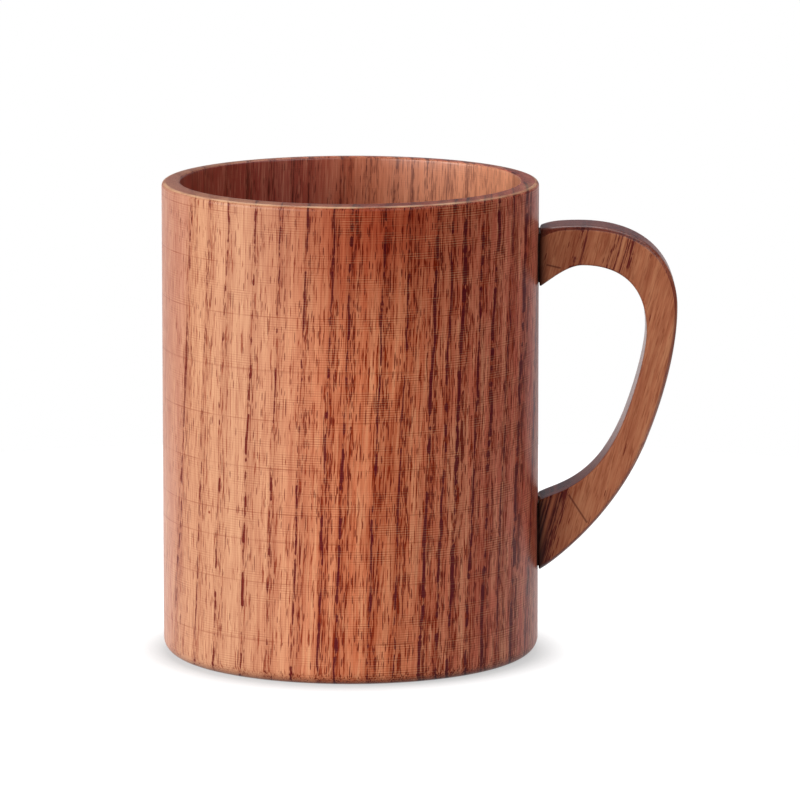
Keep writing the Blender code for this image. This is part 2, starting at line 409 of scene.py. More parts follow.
def grain_space(tree, turn, shift, pith, wander):
    """Coordinates in the block in millimetres: plain, along its grain, and the distance out from its pith."""
    place = add(tree, "TexCoord")["Object"]
    millimetres = add(tree, "VectorMath", {0: place, 1: (1000, 1000, 1000)}, operation="MULTIPLY")["Vector"]
    grain = add(tree, "Mapping", {"Vector": millimetres, "Location": shift, "Rotation": turn})["Vector"]
    plan = {0: grain, 1: (1, 1, 0), 2: (pith, 0, 0)}
    flat = add(tree, "VectorMath", plan, operation="MULTIPLY_ADD")["Vector"]
    out = add(tree, "VectorMath", {0: flat}, operation="LENGTH")["Value"]
    slow = {"Vector": stretched(tree, grain, 16, 34), "Scale": 1.0, "Detail": 3.0}
    drift = add(tree, "TexNoise", slow)["Fac"]
    sway = {"Value": drift, "To Min": -wander - pith, "To Max": wander - pith}
    sway = add(tree, "MapRange", sway, clamp=False)[0]
    distance = add(tree, "Math", {0: out, 1: sway}, operation="ADD")[0]
    return millimetres, grain, distance


def ring_lines(tree, distance, bands):
    """Number of the nearest early wood line, and how far past it the place lies, in millimetres."""
    first, last = bands[0], bands[-1]
    count = len(bands) - 1
    share = add(tree, "MapRange", {"Value": distance, "From Min": first, "From Max": last})[0]
    numbers = [(band, number / count) for number, band in enumerate(bands)]
    widths = [((low + high) / 2, (high - low) / WIDEST_RING) for low, high in zip(bands, bands[1:])]
    readings = []
    for knots in (numbers, widths):
        reading = add(tree, "FloatCurve", {"Value": share})[0]
        curve = reading.node.mapping.curves[0]
        for place, level in knots[1:-1]:
            curve.points.new((place - first) / (last - first), level)
        curve.points[0].location = (0.0, knots[0][1])
        curve.points[-1].location = (1.0, knots[-1][1])
        for point in curve.points:
            point.handle_type = "VECTOR"
        reading.node.mapping.update()
        readings.append(reading)
    rings = add(tree, "Math", {0: readings[0], 1: float(count)}, operation="MULTIPLY")[0]
    nearest = add(tree, "Math", {0: rings}, operation="ROUND")[0]
    part = add(tree, "Math", {0: rings, 1: nearest}, operation="SUBTRACT")[0]
    width = add(tree, "Math", {0: readings[1], 1: WIDEST_RING}, operation="MULTIPLY")[0]
    past = add(tree, "Math", {0: part, 1: width}, operation="MULTIPLY")[0]
    return nearest, past


def vessel_chain(tree, grain, streak, breaks, nearest, past, offset, half_width, bare, sway):
    """Tapering dashes end to end along every early wood line: 1 on a dash, 0 beside it.

    The chain lies offset millimetres past the line and swings to either side of it by sway. The socket
    half_width is its greatest half width. It swells, thins and is beaded along its run, and is broken where
    that noise, less the socket breaks, is below bare. Fine streaks of the fibres fray it.
    """
    # Every chain has a row of the noise to itself, and another one at the rear of the block
    place = add(tree, "SeparateXYZ", {"Vector": grain})
    row = add(tree, "Math", {0: nearest, 1: 7.31, 2: offset * 13.7}, operation="MULTIPLY_ADD")[0]
    rear = add(tree, "MapRange", {"Value": place["Y"], "From Min": -14, "From Max": 40, "To Max": 6.0})[0]
    row = add(tree, "Math", {0: row, 1: rear}, operation="ADD")[0]
    lane = add(tree, "CombineXYZ", {"X": row, "Y": place["Z"]})["Vector"]
    bend = add(tree, "VectorMath", {0: lane, 1: (1.0, 1 / 13, 0.0)}, operation="MULTIPLY")["Vector"]
    swing = add(tree, "TexNoise", {"Vector": bend, "Scale": 1.0, "Detail": 3.0}, noise_dimensions="2D")["Fac"]
    swing = add(tree, "MapRange", {"Value": swing, "To Min": offset - sway, "To Max": offset + sway})[0]
    pulse = add(tree, "VectorMath", {0: lane, 1: (1.7, 1 / 11, 0.0)}, operation="MULTIPLY")["Vector"]
    pulse = {"Vector": pulse, "Scale": 1.0, "Detail": 4.0, "Roughness": 0.6}
    swell = add(tree, "TexNoise", pulse, noise_dimensions="2D")["Fac"]
    swell = add(tree, "Math", {0: swell, 1: breaks}, operation="SUBTRACT")[0]
    bead = add(tree, "VectorMath", {0: lane, 1: (2.3, 1 / 2.4, 0.0)}, operation="MULTIPLY")["Vector"]
    bead = add(tree, "TexNoise", {"Vector": bead, "Scale": 1.0, "Detail": 1.0}, noise_dimensions="2D")["Fac"]
    bead = {"Value": bead, "From Min": 0.3, "From Max": 0.7, "To Min": -0.1, "To Max": 0.1}
    bead = add(tree, "MapRange", bead)[0]
    swell = add(tree, "Math", {0: swell, 1: bead}, operation="ADD")[0]
    reach = {"Value": swell, "From Min": bare, "From Max": bare + 0.14, "To Min": -0.12, "To Max": half_width}
    half = add(tree, "MapRange", reach)[0]
    aside = add(tree, "Math", {0: past, 1: swing}, operation="SUBTRACT")[0]
    aside = add(tree, "Math", {0: aside}, operation="ABSOLUTE")[0]
    fray = {"Value": streak, "From Min": 0.35, "From Max": 0.65, "To Min": -0.14, "To Max": 0.14}
    fray = add(tree, "MapRange", fray)[0]
    half = add(tree, "Math", {0: half, 1: fray}, operation="ADD")[0]
    depth = add(tree, "Math", {0: half, 1: aside}, operation="SUBTRACT")[0]
    return add(tree, "MapRange", {"Value": depth, "From Min": -0.05, "From Max": 0.05})[0]


def pore_dashes(tree, grain, across, along_grain, reach, share):
    """Scattered vessel lines: 1 on a dash and 0 between; share is the part of the cells that holds one."""
    spots = add(tree, "TexVoronoi", {"Vector": stretched(tree, grain, across, along_grain), "Scale": 1.0})
    near = {"Value": spots["Distance"], "From Min": reach, "From Max": reach * 0.8}
    dash = add(tree, "MapRange", near, interpolation_type="SMOOTHSTEP")[0]
    lot = add(tree, "SeparateColor", {"Color": spots["Color"]})["Red"]
    kept = add(tree, "Math", {0: lot, 1: share}, operation="LESS_THAN")[0]
    return add(tree, "Math", {0: dash, 1: kept}, operation="MULTIPLY")[0]


def lacquered_wood(name, block, bands, colours, figure, marks, coats):
    """Ring-porous hardwood under a clear satin lacquer.

    The eye sees dark broken lines of early wood, purple-brown where their vessels lie open, orange-brown late
    wood between them with short fine pores, and a soft broad gloss.
    """
    material, tree = new_material(name)
    millimetres, grain, distance = grain_space(tree, *block)
    nearest, past = ring_lines(tree, distance, bands)
    tan, red, rose, pale, deep, vessel, purple = [linear(code) for code in colours]

    # Fibres: broad soft streaks, bundles, fine hair lines and the finest streaks along the grain
    broad = {"Vector": stretched(tree, grain, 2.6, 60), "Scale": 1.0, "Detail": 3.0}
    cloud = add(tree, "TexNoise", broad)["Fac"]
    bundles = {"Vector": stretched(tree, grain, 1.0, 18), "Scale": 1.0, "Detail": 2.0}
    bundle = add(tree, "TexNoise", bundles)["Fac"]
    hairs = {"Vector": stretched(tree, grain, 0.35, 8), "Scale": 1.0, "Detail": 2.0, "Roughness": 0.6}
    hair = add(tree, "TexNoise", hairs)["Fac"]
    streaks = {"Vector": stretched(tree, grain, 0.3, 6.0), "Scale": 1.0, "Detail": 2.0, "Roughness": 0.65}
    streak = add(tree, "TexNoise", streaks)["Fac"]

    # Quiet tan wood on the pith side, strongly figured red wood on the far side
    drift = {"Value": distance, "From Min": figure["tan_to"], "From Max": figure["red_from"]}
    drift = add(tree, "MapRange", drift, interpolation_type="SMOOTHSTEP")[0]
    bold = figure["bold"]
    quiet = bold * figure["quiet"]
    strength = add(tree, "MapRange", {"Value": drift, "To Min": quiet, "To Max": bold})[0]

    # Early wood: a chain of open vessels on each ring line and a thinner one past it, wider in some years and
    # thinner on the pith side
    wide = {"Value": distance, "From Min": -30, "From Max": 20, "To Min": 0.75, "To Max": 1.0}
    wide = add(tree, "MapRange", wide)[0]
    border = {"Value": distance, "From Min": -37.5, "From Max": -33, "To Min": 0.35}
    border = add(tree, "MapRange", border)[0]
    wide = add(tree, "Math", {0: wide, 1: border}, operation="MULTIPLY")[0]
    lot = add(tree, "TexWhiteNoise", {"W": nearest}, noise_dimensions="1D")["Value"]
    year = add(tree, "MapRange", {"Value": lot, "To Min": 0.55, "To Max": 1.3})[0]
    wide = add(tree, "Math", {0: wide, 1: year}, operation="MULTIPLY")[0]
    apart = add(tree, "MapRange", {"Value": lot, "To Min": 1.7, "To Max": 0.6})[0]
    apart = add(tree, "Math", {0: past, 1: apart}, operation="SUBTRACT")[0]
    half = add(tree, "Math", {0: wide, 1: figure["half"]}, operation="MULTIPLY")[0]
    breaks = add(tree, "MapRange", {"Value": drift, "To Min": 0.09, "To Max": 0.0})[0]
    bare, sway = figure["bare"], figure["sway"]
    lanes = (tree, grain, streak, breaks, nearest)
    chain = vessel_chain(*lanes, past, 0.0, half, bare, sway)
    thin = add(tree, "Math", {0: wide, 1: figure["half"] * 0.7}, operation="MULTIPLY")[0]
    second = vessel_chain(*lanes, apart, 0.1, thin, bare + 0.1, sway)
    beyond = add(tree, "Math", {0: past, 1: figure["side"]}, operation="MULTIPLY")[0]
    early = add(tree, "MapRange", {"Value": beyond, "From Min": 2.6, "From Max": 0.0})[0]
    ahead = add(tree, "MapRange", {"Value": beyond, "From Min": -0.7, "From Max": -0.1})[0]
    early = add(tree, "Math", {0: early, 1: ahead}, operation="MULTIPLY")[0]

    # Vessels of the late wood: fine streaks, short dashes and rarer long ones, closer past a ring line
    sparse = add(tree, "MapRange", {"Value": drift, "To Min": 0.005, "To Max": -0.03})[0]
    least = add(tree, "MapRange", {"Value": early, "To Min": 0.6, "To Max": 0.53})[0]
    least = add(tree, "Math", {0: least, 1: sparse}, operation="ADD")[0]
    full = add(tree, "Math", {0: least, 1: 0.05}, operation="ADD")[0]
    fine_pores = add(tree, "MapRange", {"Value": streak, "From Min": least, "From Max": full})[0]
    crowd = {"Value": drift, "To Min": 0.4 * figure["pores"], "To Max": figure["pores"]}
    crowd = add(tree, "MapRange", crowd)[0]
    dashes = []
    for across, along_grain, least, most in ((0.36, 2.8, 0.25, 0.9), (0.4, 6.0, 0.08, 0.6)):
        share = add(tree, "MapRange", {"Value": early, "To Min": least, "To Max": most})[0]
        share = add(tree, "Math", {0: share, 1: crowd}, operation="MULTIPLY")[0]
        dashes.append(pore_dashes(tree, grain, across, along_grain, 0.36, share))
    short_pores, long_pores = dashes

    # Ground colour: tan, red and rose across the block, and at its tan end, the cup's left side, a painted
    # pinkish sheen that also darkens it
    wood = add(tree, "Mix", {0: drift, 6: tan, 7: red}, data_type="RGBA")[2]
    outer = add(tree, "MapRange", {"Value": distance, "From Min": 10, "From Max": 36})[0]
    wood = add(tree, "Mix", {0: outer, 6: wood, 7: rose}, data_type="RGBA")[2]
    left_edge_sheen = add(tree, "MapRange", {"Value": distance, "From Min": -35.3, "From Max": -37.3})[0]
    edge_sheen_tint = linear("#F2EAF8")
    wood = add(tree, "Mix", {0: left_edge_sheen, 6: wood, 7: edge_sheen_tint}, data_type="RGBA", blend_type="MULTIPLY")[2]

    # Each tone over it: a pattern, where it starts and is full, how much of it shows at most, its colour, and
    # its strength across the block
    lively = add(tree, "MapRange", {"Value": drift, "To Min": 1.1 * quiet, "To Max": bold})[0]
    calm = add(tree, "MapRange", {"Value": drift, "To Min": 0.5 * quiet, "To Max": bold})[0]
    fibres = figure["hairs"]
    tones = [
        (cloud, 0.45, 0.75, 0.35 * fibres, deep, calm),
        (cloud, 0.48, 0.3, 0.25 * fibres, pale, calm),
        (bundle, 0.5, 0.75, 0.35 * fibres, deep, calm),
        (bundle, 0.5, 0.3, 0.2 * fibres, pale, calm),
        (hair, 0.48, 0.75, 0.4 * fibres, deep, lively),
        (hair, 0.5, 0.3, 0.25 * fibres, pale, lively),
        (early, 0.0, 1.0, 0.3, deep, strength),
        (fine_pores, 0.0, 1.0, figure["fine"], deep, strength),
        (short_pores, 0.0, 1.0, 0.95, vessel, strength),
        (long_pores, 0.0, 1.0, 0.95, vessel, strength),
        (second, 0.0, 1.0, figure["second"], vessel, strength),
    ]
    for pattern, start, end, most, colour, share in tones:
        shown = {"Value": pattern, "From Min": start, "From Max": end, "To Max": most}
        shown = add(tree, "MapRange", shown)[0]
        shown = add(tree, "Math", {0: shown, 1: share}, operation="MULTIPLY")[0]
        wood = add(tree, "Mix", {0: shown, 6: wood, 7: colour}, data_type="RGBA")[2]
    line = add(tree, "Mix", {0: drift, 6: vessel, 7: purple}, data_type="RGBA")[2]
    shown = add(tree, "MapRange", {"Value": strength, "To Min": 0.0, "To Max": 0.97})[0]
    firm = add(tree, "MapRange", {"Value": drift, "To Min": 0.3 * bold, "To Max": 0.0})[0]
    shown = add(tree, "Math", {0: shown, 1: firm}, operation="ADD")[0]
    shown = add(tree, "Math", {0: shown, 1: chain}, operation="MULTIPLY")[0]
    wood = add(tree, "Mix", {0: shown, 6: wood, 7: line}, data_type="RGBA")[2]

    # End grain at the rim, the foot and the board's edges drinks more lacquer and is darker
    outline = {0: add(tree, "TexCoord")["Normal"], 1: figure["outline"]}
    outline = add(tree, "VectorMath", outline, operation="MULTIPLY")["Vector"]
    outline = add(tree, "VectorMath", {0: outline}, operation="NORMALIZE")["Vector"]
    facing = add(tree, "SeparateXYZ", {"Vector": outline})["Z"]
    facing = add(tree, "Math", {0: facing}, operation="ABSOLUTE")[0]
    cut = {"Value": facing, "From Min": 0.4, "From Max": 0.9, "To Max": figure["cut"]}
    cut = add(tree, "MapRange", cut)[0]
    thirsty = linear("#B8968F")
    wood = add(tree, "Mix", {0: cut, 6: wood, 7: thirsty}, data_type="RGBA", blend_type="MULTIPLY")[2]

    # Relief of the open pores and of the marks, and the lacquer over it
    pores = add(tree, "Math", {0: long_pores, 1: short_pores}, operation="MAXIMUM")[0]
    pores = add(tree, "Math", {0: pores, 1: chain}, operation="MAXIMUM")[0]
    height = add(tree, "MapRange", {"Value": pores, "To Min": 1.0, "To Max": 0.0})[0]
    height, wood = marks(tree, millimetres, distance, height, wood, (deep, pale), figure["tool"])
    polish, satin, weight, coat_roughness = coats
    rough = {"Value": hair, "From Min": 0.3, "From Max": 0.7, "To Min": satin - 0.04, "To Max": satin + 0.04}
    rough = add(tree, "MapRange", rough)[0]
    bump = add(tree, "Bump", {"Height": height, "Strength": 0.3, "Distance": 0.0001})[0]
    gloss = {"Base Color": wood, "Roughness": rough, "Normal": bump, "IOR": 1.5, "Specular IOR Level": polish}
    lacquer = {"Coat Weight": weight, "Coat Roughness": coat_roughness, "Coat IOR": 1.5}
    shader = add(tree, "BsdfPrincipled", gloss | lacquer)[0]
    add(tree, "OutputMaterial", {"Surface": shader})
    return material


def turning_marks(tree, millimetres, distance, height, wood, tones, tool):
    """Marks on the turned cup: fine patchy tool rings and single dark tool lines, as strong as tool says.

    The cup is also darker in a patch below the rim, and it has a pin knot and a painted highlight along its
    rim's outer edge.
    """
    deep, pale = tones
    away = add(tree, "VectorMath", {0: millimetres, 1: DARK_PATCH}, operation="DISTANCE")["Value"]
    shade = add(tree, "MapRange", {"Value": away, "From Min": 32, "From Max": 5, "To Max": tool})[0]
    dusk = linear("#C6998F")
    wood = add(tree, "Mix", {0: shade, 6: wood, 7: dusk}, data_type="RGBA", blend_type="MULTIPLY")[2]

    # Fine rings, seen in patches, stronger towards the red wood, and each broken along its run; the pale half
    # of each ring is a painted glint on its ridge
    level = add(tree, "SeparateXYZ", {"Vector": millimetres})["Z"]
    zone = add(tree, "VectorMath", {0: millimetres, 1: (1 / 7, 1 / 7, 1 / 4)}, operation="MULTIPLY")["Vector"]
    patch = add(tree, "TexNoise", {"Vector": zone, "Scale": 1.0, "Detail": 3.0})["Fac"]
    seen = add(tree, "MapRange", {"Value": patch, "From Min": 0.45, "From Max": 0.65, "To Min": 0.2})[0]
    across = {"Value": distance, "From Min": -30, "From Max": 10, "To Min": 0.45 * tool, "To Max": 1.2 * tool}
    across = add(tree, "MapRange", across)[0]
    seen = add(tree, "Math", {0: seen, 1: across}, operation="MULTIPLY")[0]
    run = {0: millimetres, 1: (1 / 18, 1 / 18, 1 / 1.3)}
    run = add(tree, "VectorMath", run, operation="MULTIPLY")["Vector"]
    run = add(tree, "TexNoise", {"Vector": run, "Scale": 1.0, "Detail": 1.0})["Fac"]
    run = add(tree, "MapRange", {"Value": run, "From Min": 0.35, "From Max": 0.6})[0]
    seen = add(tree, "Math", {0: seen, 1: run}, operation="MULTIPLY")[0]
    turns = add(tree, "Math", {0: level, 1: math.tau / TURNING_PITCH}, operation="MULTIPLY")[0]
    wave = add(tree, "Math", {0: turns}, operation="SINE")[0]
    for start, end, most, colour in ((0.0, 1.0, 0.5, deep), (0.0, -1.0, 0.18, pale)):
        ring = add(tree, "MapRange", {"Value": wave, "From Min": start, "From Max": end, "To Max": most})[0]
        ring = add(tree, "Math", {0: ring, 1: seen}, operation="MULTIPLY")[0]
        wood = add(tree, "Mix", {0: ring, 6: wood, 7: colour}, data_type="RGBA")[2]

    # Single lines that the tool scored
    half = TOOL_LINE_HALF / MM
    scored = add(tree, "Math", {0: level, 1: TOOL_LINES[0], 2: half}, operation="COMPARE")[0]
    for line in TOOL_LINES[1:]:
        mark = add(tree, "Math", {0: level, 1: line, 2: half}, operation="COMPARE")[0]
        scored = add(tree, "Math", {0: scored, 1: mark}, operation="MAXIMUM")[0]
    shown = {"Value": patch, "From Min": 0.35, "From Max": 0.62, "To Min": 0.05 * tool, "To Max": 0.4 * tool}
    shown = add(tree, "MapRange", shown)[0]
    shown = add(tree, "Math", {0: shown, 1: scored}, operation="MULTIPLY")[0]
    wood = add(tree, "Mix", {0: shown, 6: wood, 7: deep}, data_type="RGBA")[2]
    height = add(tree, "Math", {0: wave, 1: 0.1, 2: height}, operation="MULTIPLY_ADD")[0]

    knot = add(tree, "VectorMath", {0: millimetres, 1: PIN_KNOT}, operation="DISTANCE")["Value"]
    knot = add(tree, "MapRange", {"Value": knot, "From Min": 0.4, "From Max": 0.2, "To Max": 0.9})[0]
    wood = add(tree, "Mix", {0: knot, 6: wood, 7: deep}, data_type="RGBA")[2]

    # Painted highlight: a pale, patchy line along the rim's outer rounding, where it catches the light
    plan = add(tree, "VectorMath", {0: millimetres, 1: (1, 1, 0)}, operation="MULTIPLY")["Vector"]
    out = add(tree, "VectorMath", {0: plan}, operation="LENGTH")["Value"]
    beside = add(tree, "Math", {0: out, 1: RIM_HIGHLIGHT_OUT, 2: RIM_HIGHLIGHT_HALF}, operation="COMPARE")[0]
    rim_highlight = add(tree, "Math", {0: level, 1: RIM_HIGHLIGHT_LEVEL, 2: RIM_HIGHLIGHT_HALF}, operation="COMPARE")[0]
    rim_highlight = add(tree, "Math", {0: beside, 1: rim_highlight}, operation="MULTIPLY")[0]
    bare = {"Value": patch, "From Min": 0.35, "From Max": 0.6, "To Min": 0.15, "To Max": 0.5}
    bare = add(tree, "MapRange", bare)[0]
    rim_highlight = add(tree, "Math", {0: rim_highlight, 1: bare}, operation="MULTIPLY")[0]
    wood = add(tree, "Mix", {0: rim_highlight, 6: wood, 7: pale}, data_type="RGBA")[2]
    return height, wood


def board_marks(tree, millimetres, distance, height, wood, tones, tool):
    """Marks of the board: a dark streaky zone at its lower end, two short checks, and its ends darkened next
    to the wall, partly glue stain and partly painted shade of the crevice.

    Sanding lines run along its edges, as strong as tool says.
    """
    deep = tones[0]
    place = add(tree, "SeparateXYZ", {"Vector": millimetres})
    low = add(tree, "MapRange", {"Value": place["Z"], "From Min": 58, "From Max": 34})[0]
    before = add(tree, "MapRange", {"Value": distance, "From Min": 35.3, "From Max": 34.6})[0]
    streak = add(tree, "Math", {0: low, 1: before}, operation="MULTIPLY")[0]
    layer = add(tree, "TexNoise", {"W": distance, "Scale": 1.6, "Detail": 2.0}, noise_dimensions="1D")["Fac"]
    layer = add(tree, "MapRange", {"Value": layer, "From Min": 0.4, "From Max": 0.58, "To Min": 0.2})[0]
    streak = add(tree, "Math", {0: streak, 1: layer}, operation="MULTIPLY")[0]
    smoke = linear("#B4A0AC")
    wood = add(tree, "Mix", {0: streak, 6: wood, 7: smoke}, data_type="RGBA", blend_type="MULTIPLY")[2]

    # Sanding lines, in groups some millimetres wide, because single scratches are too fine to show
    lines = {0: millimetres, 1: (1 / 25, 1 / 2.5, 1 / 25)}
    lines = add(tree, "VectorMath", lines, operation="MULTIPLY")["Vector"]
    lines = add(tree, "TexNoise", {"Vector": lines, "Scale": 1.0, "Detail": 3.0, "Roughness": 0.6})["Fac"]
    scratch = {"Value": lines, "From Min": 0.45, "From Max": 0.62, "To Max": 0.8 * tool}
    scratch = add(tree, "MapRange", scratch)[0]
    wood = add(tree, "Mix", {0: scratch, 6: wood, 7: deep}, data_type="RGBA")[2]
    height = add(tree, "Math", {0: lines, 1: -3.0 * tool, 2: height}, operation="MULTIPLY_ADD")[0]

    # Checks, by the distance along and beside each
    crack = linear("#52201A")
    for (x0, z0), (x1, z1) in BOARD_CHECKS:
        run = Vector((x1 - x0, 0.0, z1 - z0))
        way = run.normalized()
        from_start = {0: millimetres, 1: (x0, 0.0, z0)}
        from_start = add(tree, "VectorMath", from_start, operation="SUBTRACT")["Vector"]
        along_it = add(tree, "VectorMath", {0: from_start, 1: tuple(way)}, operation="DOT_PRODUCT")["Value"]
        beside = (way.z, 0.0, -way.x)
        off_it = add(tree, "VectorMath", {0: from_start, 1: beside}, operation="DOT_PRODUCT")["Value"]
        half = run.length / 2
        within = add(tree, "Math", {0: along_it, 1: half, 2: half}, operation="COMPARE")[0]
        off_it = add(tree, "Math", {0: off_it}, operation="ABSOLUTE")[0]
        close = {"Value": off_it, "From Min": 0.28, "From Max": 0.08, "To Max": 0.7}
        close = add(tree, "MapRange", close)[0]
        check = add(tree, "Math", {0: within, 1: close}, operation="MULTIPLY")[0]
        wood = add(tree, "Mix", {0: check, 6: wood, 7: crack}, data_type="RGBA")[2]

    # Next to the wall the board turns nearly black: partly glue stain, partly painted shade in the crevice at
    # the wall
    plan = add(tree, "VectorMath", {0: millimetres, 1: (1, 1, 0)}, operation="MULTIPLY")["Vector"]
    out = add(tree, "VectorMath", {0: plan}, operation="LENGTH")["Value"]
    glue_stain_and_crevice_shade = add(tree, "MapRange", {"Value": out, "From Min": 42.0, "From Max": 40.2, "To Max": 0.9})[0]
    wood = add(tree, "Mix", {0: glue_stain_and_crevice_shade, 6: wood, 7: linear("#1E0A08")}, data_type="RGBA")[2]
    return height, wood


def cured_glue():
    """Dark cured wood glue: brown-black, slightly glossy, with a finely uneven skin."""
    material, tree = new_material("dark_cured_wood_glue")
    place = add(tree, "TexCoord")["Object"]
    skin = add(tree, "TexNoise", {"Vector": place, "Scale": 2500.0, "Detail": 3.0})["Fac"]
    tone = add(tree, "Mix", {0: skin, 6: linear("#1A0B0A"), 7: linear("#34160F")}, data_type="RGBA")[2]
    bump = add(tree, "Bump", {"Height": skin, "Strength": 0.3, "Distance": 0.0001})[0]
    skin_gloss = {"Base Color": tone, "Roughness": 0.5, "Normal": bump, "Specular IOR Level": 0.15}
    shader = add(tree, "BsdfPrincipled", skin_gloss)[0]
    add(tree, "OutputMaterial", {"Surface": shader})
    return material


def dowel_wood():
    """Plain birch-like dowel wood: pale, dry and faintly streaked."""
    material, tree = new_material("plain_dowel_wood")
    place = add(tree, "TexCoord")["Object"]
    fibres = add(tree, "VectorMath", {0: place, 1: (150, 2500, 2500)}, operation="MULTIPLY")["Vector"]
    streaks = add(tree, "TexNoise", {"Vector": fibres, "Scale": 1.0, "Detail": 3.0})["Fac"]
    tone = add(tree, "Mix", {0: streaks, 6: linear("#C9A877"), 7: linear("#B48E5C")}, data_type="RGBA")[2]
    shader = add(tree, "BsdfPrincipled", {"Base Color": tone, "Roughness": 0.6})[0]
    add(tree, "OutputMaterial", {"Surface": shader})
    return material


# Colours of each wood: tan, red and rose ground, pale and deep fibres, vessels, and vessels of the red wood
CUP_COLOURS = ["#C38C6B", "#D0744E", "#CC6C5A", "#E2B68A", "#7C2206", "#64180E", "#560E18"]
# Inside the cup the tan end of the wood is dark maroon instead of tan: painted shade on the left of the inner
# wall
SHADED_INNER_COLOURS = ["#863228", "#CC7A50", "#DC9672", "#E0A888", "#561404", "#4E0E04", "#480A12"]
HANDLE_COLOURS = ["#B6704F", "#B6704F", "#B6704F", "#CC966E", "#7A3420", "#6A2418", "#5A1618"]
# The board's long edges take a darker copy of its colours: painted shade on the roundings that turn away from
# the light
SHADED_EDGE_COLOURS = ["#B0664C", "#B0664C", "#B0664C", "#BC8866", "#743024", "#5C2018", "#5A1618"]

# Figure of each wood. half: half width of the ring lines in millimetres; bare: how much of them is broken;
# sway: how far they swing; fine: depth of the fine streaks; second: depth of the thinner line past each ring;
# side: the side of a ring line on which the early wood lies; pores: the share of the cells that holds a pore;
# hairs: strength of the fibres; bold: strength of the whole figure; quiet: how much of it is left on the pith
# side; tool: strength of the marks of turning or sanding; cut: how much darker end grain is; outline: the
# directions in which end grain is told from side grain; tan_to, red_from: where tan wood ends and red starts
CUP_FIGURE = {
    "half": 0.27, "bare": 0.36, "sway": 0.5, "fine": 1.0, "second": 0.9, "side": 1.0,
    "pores": 1.0, "hairs": 1.0, "bold": 1.0, "quiet": 0.75, "tool": 1.0,
    "cut": 0.5, "outline": (1, 1, 1), "tan_to": -26.0, "red_from": 4.0,
}
RIM_FIGURE = CUP_FIGURE | {"cut": 0.7}
INNER_FIGURE = CUP_FIGURE | {
    "half": 0.22, "bold": 0.38, "quiet": 2.0, "tool": 0.15, "tan_to": -10.0, "red_from": 33.0,
}
HANDLE_FIGURE = {
    "half": 0.1, "bare": 0.25, "sway": 0.15, "fine": 0.5, "second": 0.0, "side": -1.0,
    "pores": 0.1, "hairs": 1.0, "bold": 0.9, "quiet": 1.0, "tool": 0.0,
    "cut": 0.0, "outline": (1, 0, 1), "tan_to": -26.0, "red_from": 4.0,
}
EDGE_FIGURE = HANDLE_FIGURE | {"tool": 1.0, "cut": 1.0, "pores": 0.9, "fine": 0.85, "hairs": 1.8}

# Strength of the lacquer's own gloss, its roughness, and weight and roughness of a thicker coat on it
THIN_COAT = (0.1, 0.34, 0.0, 0.33)
THICK_COAT = (0.2, 0.34, 0.7, 0.3)
RIM_COAT = (0.1, 0.34, 0.18, 0.28)
EDGE_COAT = (0.15, 0.34, 0.4, 0.24)

# Turn of the grain, shift, distance of the pith and wander of the rings, in radians and millimetres
CUP_BLOCK = ((0, math.radians(-2.3), math.radians(-8)), (2.0, -0.3, 0), 160, 0.5)
HANDLE_BLOCK = ((math.radians(3), math.radians(-15), 0), (0, 0, 0), 140, 0.6)

cup = (CUP_BLOCK, CUP_BANDS)
outside = (CUP_COLOURS, CUP_FIGURE, turning_marks, THIN_COAT)
inside = (SHADED_INNER_COLOURS, INNER_FIGURE, turning_marks, THICK_COAT)
rim_top = (CUP_COLOURS, RIM_FIGURE, turning_marks, RIM_COAT)
cup_wood = lacquered_wood("lacquered_turned_hardwood", *cup, *outside)
shaded_inner_wood = lacquered_wood("thick_lacquer_inside_painted_shade", *cup, *inside)
rim_wood = lacquered_wood("built_up_lacquer_on_rim", *cup, *rim_top)

board = (HANDLE_BLOCK, HANDLE_BANDS)
faces = (HANDLE_COLOURS, HANDLE_FIGURE, board_marks, THIN_COAT)
edges = (SHADED_EDGE_COLOURS, EDGE_FIGURE, board_marks, EDGE_COAT)
board_wood = lacquered_wood("lacquered_sawn_hardwood", *board, *faces)
shaded_edge_wood = lacquered_wood("lacquered_board_edges_painted_shade", *board, *edges)
glue = cured_glue()

turn_cup(cup_wood, shaded_inner_wood, rim_wood)
saw_handle(board_wood, shaded_edge_wood)
spread_glue("upper_glue_film", "upper_glue_line", UPPER_ROOT, glue)
spread_glue("lower_glue_film", "lower_glue_line", LOWER_ROOT, glue)

hidden_dowel_wood = dowel_wood()
for end in ("upper", "lower"):
    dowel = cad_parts[f"{end}_dowel"]
    dowel.data.materials.clear()
    dowel.data.materials.append(hidden_dowel_wood)


# Camera at the photograph's angle, aimed at a point on the plane through the cup's axis; its lens and sensor
# are in millimetres
AIM = Vector((10.4, 0.0, 53.2)) * MM
CAMERA_DISTANCE = 1.5
CAMERA_PITCH = math.radians(9.72)
CAMERA_LENS = 320.9
CAMERA_SENSOR = 36.0


def place_camera():
    """Long lens in front of the mug that looks slightly down on it."""
    camera = bpy.data.cameras.new("photo_camera")
    camera.sensor_width = CAMERA_SENSOR
    camera.lens = CAMERA_LENS
    camera.clip_end = 20.0
    rig = bpy.data.objects.new("photo_camera", camera)
    back = Vector((0.0, -math.cos(CAMERA_PITCH), math.sin(CAMERA_PITCH)))
    rig.location = AIM + back * CAMERA_DISTANCE
    rig.rotation_euler = (math.pi / 2 - CAMERA_PITCH, 0.0, 0.0)
    bpy.context.scene.collection.objects.link(rig)
    bpy.context.scene.camera = rig


